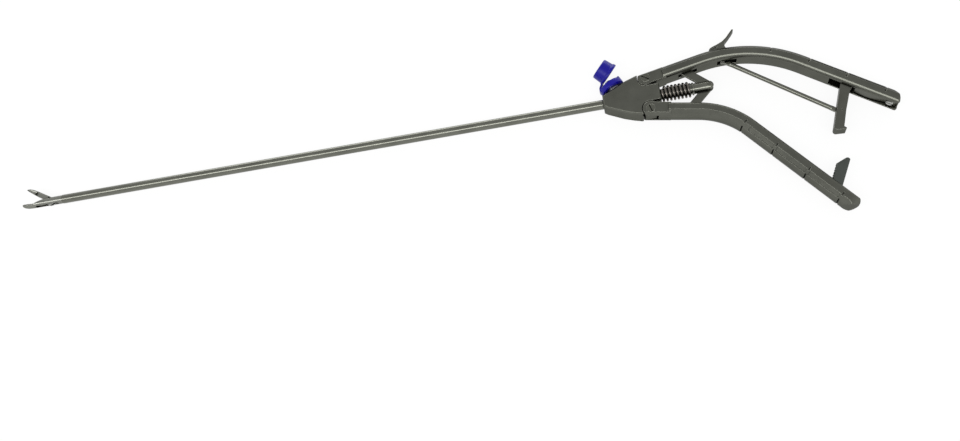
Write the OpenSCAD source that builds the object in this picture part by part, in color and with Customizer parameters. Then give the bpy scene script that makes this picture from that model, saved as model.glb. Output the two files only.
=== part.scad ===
// Laparoscopic needle holder with V handles, side catch and release trigger.
// Frame in millimetres: origin on the shaft axis at the nose of the housing,
// +X towards the grips, +Y towards the flushing port, +Z up from the table.

/* [Shaft] */
// Outer diameter of the shaft tube
shaft_d = 5; // [4.6:0.1:6]
// Wall thickness of the shaft tube
shaft_wall = 0.45; // [0.35:0.05:0.6]
// Length from the housing nose to the jaw tips
working_length = 330.6; // [250:0.2:400]
// Diameter of the drive rod inside the tube
rod_d = 2.2; // [1.8:0.1:2.6]

/* [Jaws] */
// Distance from the jaw pivot to the jaw tips
jaw_length = 17.4; // [15:0.2:20]
// Opening angle of the moving jaw at rest
jaw_open = 30; // [20:1:36]
// Height of the jaw pivot over the shaft axis
jaw_pivot_y = 1.35; // [1.1:0.05:1.4]
// Distance from the jaw pivot to the drive pin
jaw_crank = 3.2; // [2.9:0.05:3.3]
// Thickness of the hard-metal jaw inserts
insert_t = 0.55; // [0.4:0.05:0.7]
// Spacing of the cross cuts on the jaw inserts
cut_pitch = 0.6; // [0.5:0.05:1]

/* [Housing] */
// Length of the housing from nose to rear face
housing_l = 29.2; // [27:0.2:34]
// Thickness of the housing and of the lever roots
housing_t = 9; // [8:0.2:10]
// Edge chamfer of the housing shield
housing_chamfer = 0.7; // [0.3:0.1:1]
// Distance of the lever pivots behind the nose
pivot_x = 23; // [22:0.2:25]
// Distance of the lever pivots from the shaft axis
pivot_y = 8.8; // [8.4:0.1:10]
// Radius of the round lever roots
root_r = 4; // [3.6:0.1:4.2]
// Gap round the lever roots
root_gap = 0.5; // [0.3:0.05:0.6]
// Thickness of the middle tongue that carries the pivots
tongue_t = 4; // [3.4:0.2:5]

/* [Levers] */
// Height of the lever bars across the handle plane
lever_h = 7; // [6.4:0.1:8]
// Width of the lever bars through the handle plane
lever_t = 10.6; // [10:0.2:12]
// Opening angle of each lever from the shaft axis
root_angle = 11; // [9:0.5:13]
// Straight run of the upper lever before its bend
upper_run = 29; // [27:0.5:34]
// Bend radius of the upper lever
upper_radius = 62; // [56:1:70]
// Bend angle of the upper lever
upper_bend = 47.3; // [42:0.5:50]
// Length of the upper grip after the bend
upper_leg = 50.2; // [49:0.2:58]
// Straight run of the lower lever before its bend
lower_run = 23.6; // [23:0.2:27]
// Bend radius of the lower lever
lower_radius = 38; // [34:1:44]
// Bend angle of the lower lever
lower_bend = 40.5; // [36:0.5:44]
// Length of the lower grip after the bend
lower_leg = 63.5; // [62:0.5:70]
// Spacing of the cross grooves on the grips
groove_pitch = 19.2; // [16:0.2:20]
// Depth of the grip grooves and panels
groove_depth = 0.45; // [0.2:0.05:0.6]

/* [Linkage] */
// Distance of the link pins behind the lever pivots
link_u = 19.4; // [18.5:0.1:20.5]
// Set-in of the link pins from the lever centre lines
link_w = 1.8; // [1.6:0.1:2]
// Length of the links between their pins
link_l = 15.6; // [15:0.1:17]
// Width of the links
link_width = 4.2; // [3.6:0.1:4.4]
// Thickness of each link
link_t = 1.3; // [1:0.1:1.35]

/* [Spring] */
// Outer diameter of the return spring
spring_d = 8.2; // [7.8:0.1:9]
// Wire diameter of the return spring
wire_d = 1.3; // [0.9:0.05:1.3]
// Number of turns of the return spring
spring_turns = 7.75; // [6:0.25:9]
// Length of the return spring
spring_l = 16; // [14:0.5:17]

/* [Catch] */
// Distance of the catch arm pivot along the upper grip
catch_s = 23.2; // [22:0.2:25]
// Length of the catch arm from its pivot
catch_l = 27.4; // [26:0.2:30]
// Angle of the catch arm from the upper grip
catch_lean = 73; // [70:0.5:76]
// Width of the catch arm through the handle plane
catch_w = 5.6; // [5.2:0.1:6]
// Spacing of the ratchet teeth
tooth_pitch = 1.36; // [0.9:0.02:1.5]
// Number of ratchet teeth
tooth_count = 6; // [4:1:7]
// Width of the ratchet plate
rack_w = 5.5; // [5:0.1:6.5]
// Thickness of the ratchet plate
rack_t = 2.2; // [2:0.1:3]
// Distance of the release trigger pivot along the upper lever
trigger_u = 42.1; // [41.5:0.1:43]

/* [Port and cap] */
// Outer diameter of the flushing cap
cap_d = 12.2; // [11:0.1:13]
// Height of the flushing cap
cap_h = 6.8; // [6:0.1:9]
// Outer diameter of the strap ring on the port
ring_d = 12.8; // [12:0.1:13]
// Tilt of the loose cap against the port
cap_tilt = 25; // [20:1:27]
// Lift of the loose cap's top from the handle plane
cap_lift = 18; // [12:1:22]
// Height of the port over the housing slope
port_l = 6.4; // [5.6:0.1:6.6]

/* [Hidden] */
$fn = 64;

// Clearances by name.
run = 0.05;
seat = 0.02;
side = 0.15;
open_fit = 0.3;
over = 1;

steel = "#6b6d66";
dark = "#3c3e3c";
bright = "#c8cac6";
blue = "#2a18a8";
grey = "#8a8a86";
rubber = "#7a3b2e";

function turn(a, p) = [p[0] * cos(a) - p[1] * sin(a),
  p[0] * sin(a) + p[1] * cos(a)];
function plus(p, q) = [p[0] + q[0], p[1] + q[1]];
function arc(c, r, a0, a1, n) = [for (i = [0:n])
  [c[0] + r * cos(a0 + (a1 - a0) * i / n), c[1] + r * sin(a0 + (a1 - a0) * i / n)]];

shaft_r = shaft_d / 2;
bore_r = shaft_r - shaft_wall;
neck_r = shaft_r - 0.2;
rod_r = rod_d / 2;
half_t = housing_t / 2;
cheek_in = tongue_t / 2 + side;
boss_r = root_r;
pocket_r = root_r + 1.3;
half_h = lever_h / 2;
half_w = lever_t / 2;
upper_p = [pivot_x, pivot_y];
lower_p = [pivot_x, -pivot_y];
screw_r = 1.5;

// Path points of the two levers, each in its own root frame.
function bend_end(l, r, a) = [l + r * sin(a), -r * (1 - cos(a))];
upper_e = bend_end(upper_run, upper_radius, upper_bend);
lower_e = bend_end(lower_run, lower_radius, lower_bend);

// Link pins and the cross pin of the plunger.
upper_a = plus(upper_p, turn(root_angle, [link_u, -link_w]));
lower_a = [upper_a[0], -upper_a[1]];
cross_x = upper_a[0] + sqrt(link_l * link_l - upper_a[1] * upper_a[1]);
link_angle = atan2(-upper_a[1], cross_x - upper_a[0]);
link_pin_r = 0.8;
cross_pin_r = 1;
plunger_r = 2.75;
link_slot = 2 * link_t + 0.4;

// Jaw positions along the shaft.
tip_x = -working_length;
jaw_x = tip_x + jaw_length;
jaw_pin_r = 0.5;
drive_pin_r = 0.4;
fork_x = jaw_x + 6.4;
tube_end_x = jaw_x + 7.6;
tang_t = 1.1;
fork_t = 0.5;
jaw_slot = tang_t + 2 * fork_t + 0.4;
crank_a = 270 - jaw_open / 2;
drive_p = plus([jaw_x, jaw_pivot_y], [jaw_crank * cos(crank_a), jaw_crank * sin(crank_a)]);

module place_upper() {
  translate([upper_p[0], upper_p[1], 0]) rotate([0, 0, root_angle]) children();
}

module place_lower() {
  translate([lower_p[0], lower_p[1], 0]) rotate([0, 0, -root_angle]) children();
}

module upper_grip() {
  place_upper() translate([upper_e[0], upper_e[1], 0]) rotate([0, 0, -upper_bend]) children();
}

module lower_grip() {
  place_lower() translate([lower_e[0], lower_e[1], 0]) rotate([0, 0, -lower_bend]) children();
}

module along_x(l) {
  rotate([90, 0, 90]) linear_extrude(l) children();
}

module pin_z(p, r, l) {
  translate([p[0], p[1], 0]) cylinder(r = r, h = l, center = true);
}

module plate(t) {
  linear_extrude(t, center = true) children();
}

// Bar section: soft corners towards the gap, facets on the grip side.
soft = 2.2;
facet = 2.65;
facet_z = 2.3;
crown = 0.45;
function bar_points(out) = [for (p = concat(
  arc([-half_h + soft, half_w - soft], soft, 90, 180, 4),
  arc([-half_h + soft, -half_w + soft], soft, 180, 270, 4),
  [[half_h - facet, -half_w], [half_h - crown, -half_w + facet_z],
   [half_h, -0.9], [half_h, 0.9],
   [half_h - crown, half_w - facet_z], [half_h - facet, half_w]]))
  [out * p[0], p[1]]];

module bar_section(out) {
  polygon(bar_points(out));
}

// Straight run, bend and grip in one sweep; nose is the end radius seen from the grip side.
module bar(run_l, r, a, leg_l, out, nose) {
  along_x(run_l) bar_section(out);
  translate([run_l, 0, 0]) core();
  translate([run_l + r * sin(a), -r * (1 - cos(a)), 0]) rotate([0, 0, -a]) core();
  translate([run_l, -r, 0]) rotate([0, 0, 90 - a])
    rotate_extrude(angle = a, $fn = 180) translate([r, 0]) bar_section(out);
  translate([run_l + r * sin(a), -r * (1 - cos(a)), 0]) rotate([0, 0, -a])
    intersection() {
      along_x(leg_l) bar_section(out);
      union() {
        translate([-over, -lever_h, -lever_t])
          cube([leg_l - nose + over, 2 * lever_h, 2 * lever_t]);
        translate([-over, -lever_h, -half_w + nose])
          cube([leg_l + over, 2 * lever_h, lever_t - 2 * nose]);
        for (m = [-1, 1]) translate([leg_l - nose, 0, m * (half_w - nose)]) rotate([90, 0, 0])
          cylinder(r = nose, h = 2 * lever_h, center = true);
      }
      union() {
        translate([-over, -lever_h, -lever_t])
          cube([leg_l - end_r + over, 2 * lever_h, 2 * lever_t]);
        translate([leg_l - end_r, out * (half_h - end_r + 0.2), 0])
          cylinder(r = end_r, h = 2 * lever_t, center = true, $fn = 96);
      }
      union() {
        translate([-over, -lever_h, -lever_t]) cube([leg_l - heel_r + over, 2 * lever_h, 2 * lever_t]);
        translate([-over, out > 0 ? heel_r - half_h : -lever_h, -lever_t])
          cube([leg_l + 2 * over, lever_h + half_h - heel_r, 2 * lever_t]);
        translate([leg_l - heel_r, out * (heel_r - half_h), 0]) cylinder(r = heel_r, h = 2 * lever_t, center = true);
      }
    }
}

// Inner block that ties the straight and bent stretches together.
module core() cube([3, 3, 4], center = true);

end_r = 8;
heel_r = 2.4;
step_r = 9;

// Outer profile of the root plate: small chamfers above and below.
root_chamfer = [1.3, 1.2];
module root_profile(out) polygon([for (p = [[-2 * root_r, -half_t], [half_h - root_chamfer[0], -half_t],
  [half_h - crown, -half_t + root_chamfer[1]], [half_h, -0.9], [half_h, 0.9],
  [half_h - crown, half_t - root_chamfer[1]], [half_h - root_chamfer[0], half_t],
  [-2 * root_r, half_t]]) [out * p[0], p[1]]]);

// Round root, flat root plate and arc step up to the bar.
module lever_blank(run_l, r, a, leg_l, out, nose) {
  intersection() {
    union() {
      cylinder(r = root_r, h = housing_t, center = true);
      translate([0, -half_h, -half_t]) cube([step_r + over, lever_h, housing_t]);
    }
    translate([-root_r - over, 0, 0]) along_x(root_r + step_r + 3 * over) root_profile(out);
  }
  difference() {
    bar(run_l, r, a, leg_l, out, nose);
    cylinder(r = step_r, h = 2 * lever_t, center = true, $fn = 96);
  }
}

head_r = 2.2;
head_l = 1.2;
shank_r = 1.1;

// Cuts shared by both lever roots: tongue pocket, screw hole and link slot.
module root_cuts(in) {
  cylinder(r = pocket_r, h = 2 * cheek_in, center = true);
  cylinder(r = screw_r + seat, h = 2 * lever_t, center = true);
  translate([0, 0, half_t - head_l - seat]) cylinder(r = head_r + seat, h = lever_t);
  translate([link_u - 3, in * (half_h + over) - (in > 0 ? half_h + over + 0.7 : 0), -link_slot / 2])
    cube([10, half_h + over + 0.7, link_slot]);
  translate([link_u, in * link_w, 0]) cylinder(r = link_pin_r + seat, h = pin_l + 2 * seat, center = true);
}

pin_l = 8;
groove_w = 0.8;

// One cross groove over the grip side and both flanks.
module cross_groove(s, out) {
  translate([s - groove_w / 2, out > 0 ? half_h - crown - groove_depth : -half_h - over, -lever_t])
    cube([groove_w, over + crown + groove_depth, 2 * lever_t]);
  for (m = [-1, 1])
    translate([s - groove_w / 2, out > 0 ? half_h - facet - 1.4 : -half_h - over,
      m > 0 ? half_w - groove_depth : -half_w - over])
      cube([groove_w, facet + 1.4 + over, groove_depth + over]);
}

// Lengthwise panels sunk in the sloping facets between two cross grooves.
module facet_panel(s0, s1, out) {
  for (m = [-1, 1])
    translate([s0, out * (half_h - (facet + crown) / 2), m * (half_w - facet_z / 2)])
      rotate([out * m * 45, 0, 0])
        translate([0, out > 0 ? -panel_depth : -over, -facet_w / 2])
          cube([s1 - s0, over + panel_depth, facet_w]);
}

facet_w = 2.1;
panel_depth = 0.35;
first_upper = 3.3;
first_lower = 16.6;

module grip_cuts(first, count, out) {
  for (i = [0:count - 1]) cross_groove(first + i * groove_pitch, out);
  for (i = [0:count - 2])
    facet_panel(first + i * groove_pitch + 0.8, first + (i + 1) * groove_pitch - 0.8, out);
}

arm_slot = catch_w + 0.5;
arm_slot_start = catch_s - 7.6;
arm_slot_end = catch_s + 4.5;
screw_s = upper_leg - 4.5;
leaf_floor = -half_h + 2.1;

module upper_lever() color(steel) difference() {
  place_upper() lever_blank(upper_run, upper_radius, upper_bend, upper_leg, 1, 2.4);
  place_upper() {
    root_cuts(-1);
    translate([trigger_u - 5.2, -lever_h, -trigger_slot / 2])
      cube([9.6, 2 * lever_h, trigger_slot]);
    translate([trigger_p[0], trigger_p[1], 0]) cylinder(r = 0.9 + seat, h = pin_l + 2 * seat, center = true);
    upper_first_groove();
  }
  upper_grip() {
    grip_cuts(first_upper, 3, 1);
    translate([arm_slot_start, -lever_h, -arm_slot / 2])
      cube([arm_slot_end - arm_slot_start, lever_h + half_h - 1.6, arm_slot]);
    translate([arm_slot_end - over, -lever_h, -arm_slot / 2])
      cube([upper_leg - arm_slot_end + 2 * over, lever_h + leaf_floor, arm_slot]);
    translate([catch_s, catch_off, 0]) cylinder(r = 1 + seat, h = pin_l + 2 * seat, center = true);
    translate([screw_s, leaf_floor - over, 0]) rotate([-90, 0, 0])
      cylinder(r = 1 + seat, h = 2.5 + over);
  }
}

// The first cross groove of the upper lever sits in its bend.
module upper_first_groove() {
  translate([upper_run, -upper_radius, 0]) rotate([0, 0, -upper_bend + (groove_pitch - first_upper) / upper_radius * 180 / PI])
    translate([0, upper_radius, 0]) cross_groove(0, 1);
}

module lower_lever() color(steel) difference() {
  place_lower() lever_blank(lower_run, lower_radius, lower_bend, lower_leg, -1, half_w - 0.01);
  place_lower() root_cuts(1);
  lower_grip() {
    cross_groove(first_lower - groove_pitch, -1);
    facet_panel(first_lower - groove_pitch + 3.4, first_lower - 0.8, -1);
    grip_cuts(first_lower, 3, -1);
    translate([rack_s - 0.3, -1.7, -rack_t / 2 - seat])
      cube([rack_foot + 0.6, half_h + 1.7 + over, rack_t + 2 * seat]);
    for (d = rivet_s)
      translate([d, -0.2, 0]) cylinder(r = 0.9 + seat, h = pin_l + 2 * seat, center = true);
  }
}

module pivot_screw(p, slot_turn) translate([p[0], p[1], 0]) color(steel) difference() {
  union() {
    translate([0, 0, -half_t + 0.1]) cylinder(r = screw_r, h = housing_t - 0.2);
    translate([0, 0, half_t - head_l]) cylinder(r = head_r, h = head_l);
  }
  rotate([0, 0, slot_turn]) translate([-head_r - over, -0.3, half_t - 0.6])
    cube([2 * (head_r + over), 0.6, over + 0.6]);
}

module upper_pivot_screw() pivot_screw(upper_p, -35);
module lower_pivot_screw() pivot_screw(lower_p, -75);

// Shield outline of the housing; the port sits on its upper slope.
slope_top = [12.8, 9.2];
nose_half = 3.2;
slope_a = atan2(slope_top[1] - nose_half, slope_top[0]);
port_at = 0.53;
port_c = [slope_top[0] * port_at, nose_half + (slope_top[1] - nose_half) * port_at];

module shield() polygon([[0, -nose_half], [1.6, -4.4], [9.5, -8.4], [14, -10.1], [18.6, -11.5],
  [housing_l, -12.4], [housing_l, 12.4], [18.6, 11.2], slope_top, [0, nose_half]]);

module shield_blank() hull() {
  linear_extrude(housing_t - 2 * housing_chamfer, center = true) shield();
  linear_extrude(housing_t, center = true) offset(delta = -housing_chamfer) shield();
}

// Room for a lever root: a round recess and everything outward behind it.
module root_room(p, m, r, t0) {
  translate([p[0], p[1], t0]) cylinder(r = r, h = half_t);
  translate([p[0], m > 0 ? p[1] - r : p[1] - 2 * lever_t + r, t0])
    cube([housing_l, 2 * lever_t, half_t]);
  translate([p[0] - r, m > 0 ? p[1] + r * 0.5 : p[1] - 2 * lever_t - r * 0.5, t0])
    cube([r + over, 2 * lever_t, half_t]);
}

room_r = root_r + root_gap;
seal_x = 10.3;
seal_l = 2.6;
chamber_x = 6.4;
chamber_l = seal_x - chamber_x;

module housing() color(steel) difference() {
  shield_blank();
  for (m = [-1, 1]) {
    p = [pivot_x, m * pivot_y];
    root_room(p, m, room_r, tongue_t / 2);
    mirror([0, 0, 1]) root_room(p, m, room_r, tongue_t / 2);
    difference() {
      translate([pivot_x - boss_r, m > 0 ? pivot_y - root_r : -pivot_y + root_r - 2 * lever_t, -half_t])
        cube([housing_l, 2 * lever_t, housing_t]);
      pin_z(p, boss_r, 2 * housing_t);
      translate([pivot_x - boss_r - over, m > 0 ? -lever_t : -pivot_y, -half_t])
        cube([boss_r + over, lever_t + pivot_y, housing_t]);
    }
    pin_z(p, screw_r + run, 2 * housing_t);
  }
  rotate([0, 90, 0]) {
    translate([0, 0, -over]) cylinder(r = neck_r + seat, h = chamber_x + over);
    cylinder(r = bore_r, h = seal_x);
    translate([0, 0, seal_x]) cylinder(r = plunger_r + run, h = housing_l);
  }
  place_port() {
    translate([0, 0, -2.6]) cylinder(r = 2.6 + seat, h = 6);
    translate([0, 0, -port_c[1]]) cylinder(r = 1.2, h = 2 * port_c[1]);
  }
}

module place_port() {
  translate([port_c[0], port_c[1], 0]) rotate([0, 0, slope_a]) rotate([-90, 0, 0]) children();
}

boss_h = 1.2;
ring_h = 2.8;
luer_r = 2;

module luer_port() color(bright) place_port() difference() {
  union() {
    translate([0, 0, -2.5]) cylinder(r = 2.6, h = 2.5 + boss_h + ring_h);
    translate([0, 0, 0.02]) cylinder(r = 3.7, h = boss_h + ring_h + 0.3);
    translate([0, 0, 0.02]) cylinder(r = 4.2, h = boss_h);
    translate([0, 0, boss_h + ring_h]) cylinder(r = luer_r, h = port_l - boss_h - ring_h);
  }
  translate([0, 0, -3]) cylinder(r = 1.2, h = port_l + 4);
  translate([0, 0, port_l - 3]) cylinder(r1 = 1.2, r2 = 1.6, h = 3.01);
}

// Ring round the port with a short strap up to the cap.
module cap_strap() color(blue) place_port() difference() {
  union() {
    translate([0, 0, boss_h + 0.05]) cylinder(r = ring_d / 2, h = ring_h);
    rotate([90, 0, 0]) linear_extrude(strap_w, center = true)
      polygon([[-ring_d / 2 + 0.1, boss_h + 0.4], [-ring_d / 2 + 1.4, boss_h + 0.4],
        [-ring_d / 2 + 1.9, boss_h + ring_h + 0.2], [strap_tip[0] + 0.9, strap_tip[1] - 0.5],
        [strap_tip[0], strap_tip[1]]]);
  }
  cylinder(r = 3.7 + run, h = port_l);
}

strap_w = 4.4;
strap_tip = [-4.3, 7.5];
cap_r = cap_d / 2;
cap_c = [5.39, 16.44, -0.45];

// The cap hangs loose over the port, held by its strap.
module place_cap() {
  translate(cap_c) rotate([0, 0, slope_a + cap_tilt]) rotate([-90 + cap_lift, 0, 0]) children();
}

module flush_cap() color(blue) place_cap() difference() {
  rotate_extrude() polygon([[0, 0], [cap_r - 0.3, 0], [cap_r, 0.4], [cap_r, 1.4], [cap_r - 0.4, 1.9],
    [cap_r - 0.7, cap_h - 0.5], [cap_r - 1.2, cap_h], [0, cap_h]]);
  translate([0, 0, -over]) cylinder(r = cap_r - 1.5, h = cap_h - 1.4 + over);
}

// Shaft, rod and seal.
plug_l = 5;

module shaft_tube() color(steel) rotate([0, 90, 0]) difference() {
  union() {
    translate([0, 0, tube_end_x]) cylinder(r = shaft_r, h = -tube_end_x - seat);
    translate([0, 0, -1]) cylinder(r = neck_r, h = chamber_x + 0.95);
  }
  translate([0, 0, tube_end_x - over]) cylinder(r = bore_r, h = chamber_x - tube_end_x + 2 * over);
}

module rod_seal() color(rubber) translate([seal_x + 0.05, 0, 0]) rotate([0, 90, 0]) difference() {
  cylinder(r = plunger_r + run - seat, h = seal_l);
  translate([0, 0, -over]) cylinder(r = rod_r + run, h = seal_l + 2 * over);
}

plunger_x = seal_x + seal_l + 1.2;
rod_seat = 7;
flange_x = housing_l + spring_l;

module plunger() color(steel) difference() {
  union() {
    rotate([0, 90, 0]) {
      translate([0, 0, plunger_x]) cylinder(r = plunger_r, h = cross_x - plunger_x);
      translate([0, 0, flange_x]) cylinder(r = coil_r - 0.2, h = 0.8);
    }
    translate([cross_x, 0, 0]) sphere(r = plunger_r);
  }
  translate([cross_x - 7.7, -spring_d, -link_slot / 2]) cube([20, 2 * spring_d, link_slot]);
  for (m = [-1, 1])
    translate([flange_x - over, m > 0 ? plunger_r : -spring_d - plunger_r, -link_slot / 2 - 0.1])
      cube([3, spring_d, link_slot + 0.2]);
  pin_z([cross_x, 0], cross_pin_r + seat, 4 * plunger_r);
  translate([plunger_x - over, 0, 0]) rotate([0, 90, 0]) cylinder(r = rod_r + seat, h = rod_seat + over);
}

module plunger_pin() color(dark) pin_z([cross_x, 0], cross_pin_r, 2 * plunger_r - 0.5);

module drive_rod() color(bright) {
  translate([fork_x, 0, 0]) rotate([0, 90, 0])
    cylinder(r = rod_r, h = plunger_x + rod_seat - 0.1 - fork_x);
  difference() {
    intersection() {
      for (m = [-1, 1]) translate([0, 0, m * (tang_t / 2 + 0.1 + fork_t / 2)]) {
        translate([drive_p[0], drive_p[1], 0]) cylinder(r = fork_end_r, h = fork_t, center = true);
        plate(fork_t) polygon([[drive_p[0], drive_p[1] - fork_end_r],
          [drive_p[0] + 1.4, drive_p[1] - fork_end_r], [jaw_x + 3.4, -0.95], [fork_x + 1, -0.75],
          [fork_x + 1, 0.75], [jaw_x + 3.4, 0.3], [drive_p[0], drive_p[1] + fork_end_r]]);
      }
      union() {
        translate([drive_p[0] - 2, -shaft_r, -shaft_r]) cube([jaw_x + 4.8 - drive_p[0] + 2, shaft_d, shaft_d]);
        translate([jaw_x, 0, 0]) rotate([0, 90, 0]) cylinder(r = rod_r, h = 12);
      }
    }
    translate([drive_p[0], drive_p[1], 0]) cylinder(r = drive_pin_r + seat, h = 4, center = true);
  }
}

fork_end_r = 0.62;

module jaw_drive_pin() color(dark) pin_z(drive_p, drive_pin_r, tang_t + 2 * fork_t + 0.18);
module jaw_pivot_pin() color(dark) pin_z([jaw_x, jaw_pivot_y], jaw_pin_r, 3.6);

// Jaws: both are cut from one bullet shape along the shaft axis.
jaw_r = shaft_r - 0.2;
function face_y(d) = -0.6 + 0.85 * pow(max(0, 1 - d / 12), 2);
bullet = [[0, 0], [0.8, 0], [1.2, 0.5], [1.7, 1.6], [2.07, 3.2], [2.24, 5.2], [jaw_r, 7.6]];

module bullet_shape(l) translate([tip_x, 0, 0]) rotate([0, 90, 0])
  rotate_extrude() polygon(concat(bullet, [[jaw_r, l], [0, l]]));

insert_l = jaw_length - 10.2;
cuts = floor((insert_l - 0.6) / cut_pitch);

// Side outline between two offsets of the working face.
function face_line(l, off, n) = [for (i = [0:n]) [tip_x + l * i / n, face_y(l * i / n) + off]];
function zig_line(off, depth) = concat([[tip_x, face_y(0) + off]],
  [for (i = [0:cuts - 1]) for (k = [0, 1])
    [tip_x + 0.3 + cut_pitch * (i + 0.5 * k), face_y(0.3 + cut_pitch * (i + 0.5 * k)) + off + k * depth]],
  [[tip_x + insert_l, face_y(insert_l) + off]]);
function back(a) = [for (i = [len(a) - 1:-1:0]) a[i]];

half_gap = 0.04;

module lower_insert_area(g) polygon(concat(face_line(insert_l + g, -half_gap - insert_t - g, 10),
  back(zig_line(-half_gap, -0.16))));

module fixed_jaw_insert() color(grey) intersection() {
  bullet_shape(insert_l + 1);
  plate(8) lower_insert_area(0);
}

module moving_jaw_insert() color(grey) open_jaw() intersection() {
  bullet_shape(insert_l + 1);
  plate(8) polygon(concat(face_line(insert_l, half_gap + insert_t, 10), back(zig_line(half_gap, 0.16))));
}

module open_jaw() {
  translate([jaw_x, jaw_pivot_y, 0]) rotate([0, 0, -jaw_open])
    translate([-jaw_x, -jaw_pivot_y, 0]) children();
}

cheek_r = 1.7;
tail_d = 7.6;
tail_play = 0.1;

// Everything over the working face of the fixed jaw.
module over_face(t) linear_extrude(t, center = true)
  polygon(concat(face_line(jaw_length, -half_gap, 12), [[jaw_x, 5], [tip_x - 2, 5], [tip_x - 2, 0.25]]));

// Cheeks of the fixed jaw that rise on both sides of the moving jaw's tail.
module jaw_cheeks() difference() {
  intersection() {
    bullet_shape(jaw_length + 1);
    plate(2 * shaft_d) polygon([[tip_x + tail_d + 0.6, -0.8], [tip_x + tail_d + 0.6, -0.3],
      [tip_x + 12.2, 1], [tip_x + 15, 2.2], [jaw_x + 0.5, 2.6], [jaw_x + 0.5, -0.8]]);
  }
  over_face(jaw_slot);
}
slot_front = jaw_x - 4;
slot_low = jaw_x - 9;
slot_rear = jaw_x + 4.7;
pocket_rear = jaw_x + 6.7;

module fixed_jaw() color(steel) difference() {
  union() {
    difference() {
      bullet_shape(tube_end_x - tip_x);
      over_face(10);
      translate([0, 0, -5]) linear_extrude(10)
        polygon(concat(face_line(insert_l + seat, -half_gap - insert_t - seat, 10),
          [[tip_x + insert_l + seat, 1], [tip_x - 2, 1], [tip_x - 2, face_y(0) - insert_t - half_gap]]));
    }
    jaw_cheeks();
    intersection() {
      bullet_shape(jaw_length + 1);
      pin_z([jaw_x, jaw_pivot_y], cheek_r, 2 * shaft_r);
    }
    translate([tube_end_x - 0.05, 0, 0]) rotate([0, 90, 0]) cylinder(r = bore_r - seat, h = plug_l);
  }
  translate([slot_front, -5, -jaw_slot / 2]) cube([slot_rear - slot_front, 10, jaw_slot]);
  translate([slot_low, -5, -jaw_slot / 2]) cube([slot_rear - slot_low, 5 - 1.3, jaw_slot]);
  translate([slot_rear - over, -1.45, -jaw_slot / 2]) cube([pocket_rear - slot_rear + over, 2.9, jaw_slot]);
  translate([jaw_x, 0, 0]) rotate([0, 90, 0]) cylinder(r = rod_r + 0.1, h = 20);
  pin_z([jaw_x, jaw_pivot_y], jaw_pin_r + seat, 10);
}

crank_closed = crank_a + jaw_open;

module moving_jaw() color(steel) open_jaw() difference() {
  union() {
    difference() {
      intersection() {
        bullet_shape(jaw_length);
        translate([0, 0, -5]) linear_extrude(10)
          polygon(concat(face_line(jaw_length, half_gap, 12), [[jaw_x, 5], [tip_x - 2, 5], [tip_x - 2, 0.3]]));
      }
      pin_z([jaw_x, jaw_pivot_y], cheek_r + 0.25, 10);
      for (m = [-1, 1]) translate([tip_x + tail_d, -5, m * (jaw_slot / 2 - tail_play + 5) - 5])
        cube([jaw_length, 10, 10]);
      translate([0, 0, -5]) linear_extrude(10)
        polygon(concat(face_line(insert_l + seat, half_gap + insert_t + seat, 10),
          [[tip_x + insert_l + seat, -2], [tip_x - 2, -2], [tip_x - 2, face_y(0) + insert_t + half_gap]]));
    }
    plate(tang_t) polygon([[jaw_x - 2.6, face_y(12) + 0.25], [jaw_x - 0.4, 0.3],
      [jaw_x + jaw_crank * cos(crank_closed) - 0.6, jaw_pivot_y + jaw_crank * sin(crank_closed)],
      [jaw_x + jaw_crank * cos(crank_closed) + 0.6, jaw_pivot_y + jaw_crank * sin(crank_closed)],
      [jaw_x + 1, jaw_pivot_y], [jaw_x, jaw_pivot_y + 0.95], [jaw_x - 2.6, 2]]);
    pin_z([jaw_x, jaw_pivot_y], 1.05, tang_t);
    pin_z([jaw_x + jaw_crank * cos(crank_closed), jaw_pivot_y + jaw_crank * sin(crank_closed)], 0.72, tang_t);
  }
  pin_z([jaw_x, jaw_pivot_y], jaw_pin_r + run, 10);
  translate([jaw_x, jaw_pivot_y, 0]) rotate([0, 0, crank_closed]) for (k = [-0.1, 0.1])
    translate([jaw_crank + k, 0, 0]) cylinder(r = drive_pin_r + 0.08, h = 10, center = true);
}

// Links side by side on the cross pin of the plunger.
module link_bar(a, angle, z) translate([a[0], a[1], z]) rotate([0, 0, angle]) difference() {
  union() {
    cylinder(r = link_width / 2, h = link_t, center = true);
    translate([link_l, 0, 0]) cylinder(r = link_width / 2, h = link_t, center = true);
    translate([0, -link_width / 2, -link_t / 2]) cube([link_l, link_width, link_t]);
  }
  cylinder(r = link_pin_r + run, h = 2 * link_t, center = true);
  translate([link_l, 0, 0]) cylinder(r = cross_pin_r + open_fit, h = 2 * link_t, center = true);
}

module upper_link() color(steel) link_bar(upper_a, link_angle, link_t / 2 + 0.05);
module lower_link() color(steel) link_bar(lower_a, -link_angle, -link_t / 2 - 0.05);
module upper_link_pin() color(dark) pin_z(upper_a, link_pin_r, pin_l);
module lower_link_pin() color(dark) pin_z(lower_a, link_pin_r, pin_l);

// Return spring: a round wire swept along a helix as one closed skin.
wire_r = wire_d / 2;
coil_r = (spring_d - wire_d) / 2;
coil_n = 18;
wire_n = 8;
coil_steps = round(spring_turns * coil_n);
coil_x0 = housing_l + wire_r + 0.05;
coil_x1 = flange_x - wire_r - 0.05;

function coil_point(i, k) = let (
  t = i / coil_steps, a = 360 * spring_turns * t + 80, w = 360 * k / wire_n,
  rad = coil_r + wire_r * cos(w))
  [coil_x0 + (coil_x1 - coil_x0) * t + wire_r * sin(w), rad * cos(a), rad * sin(a)];

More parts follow.
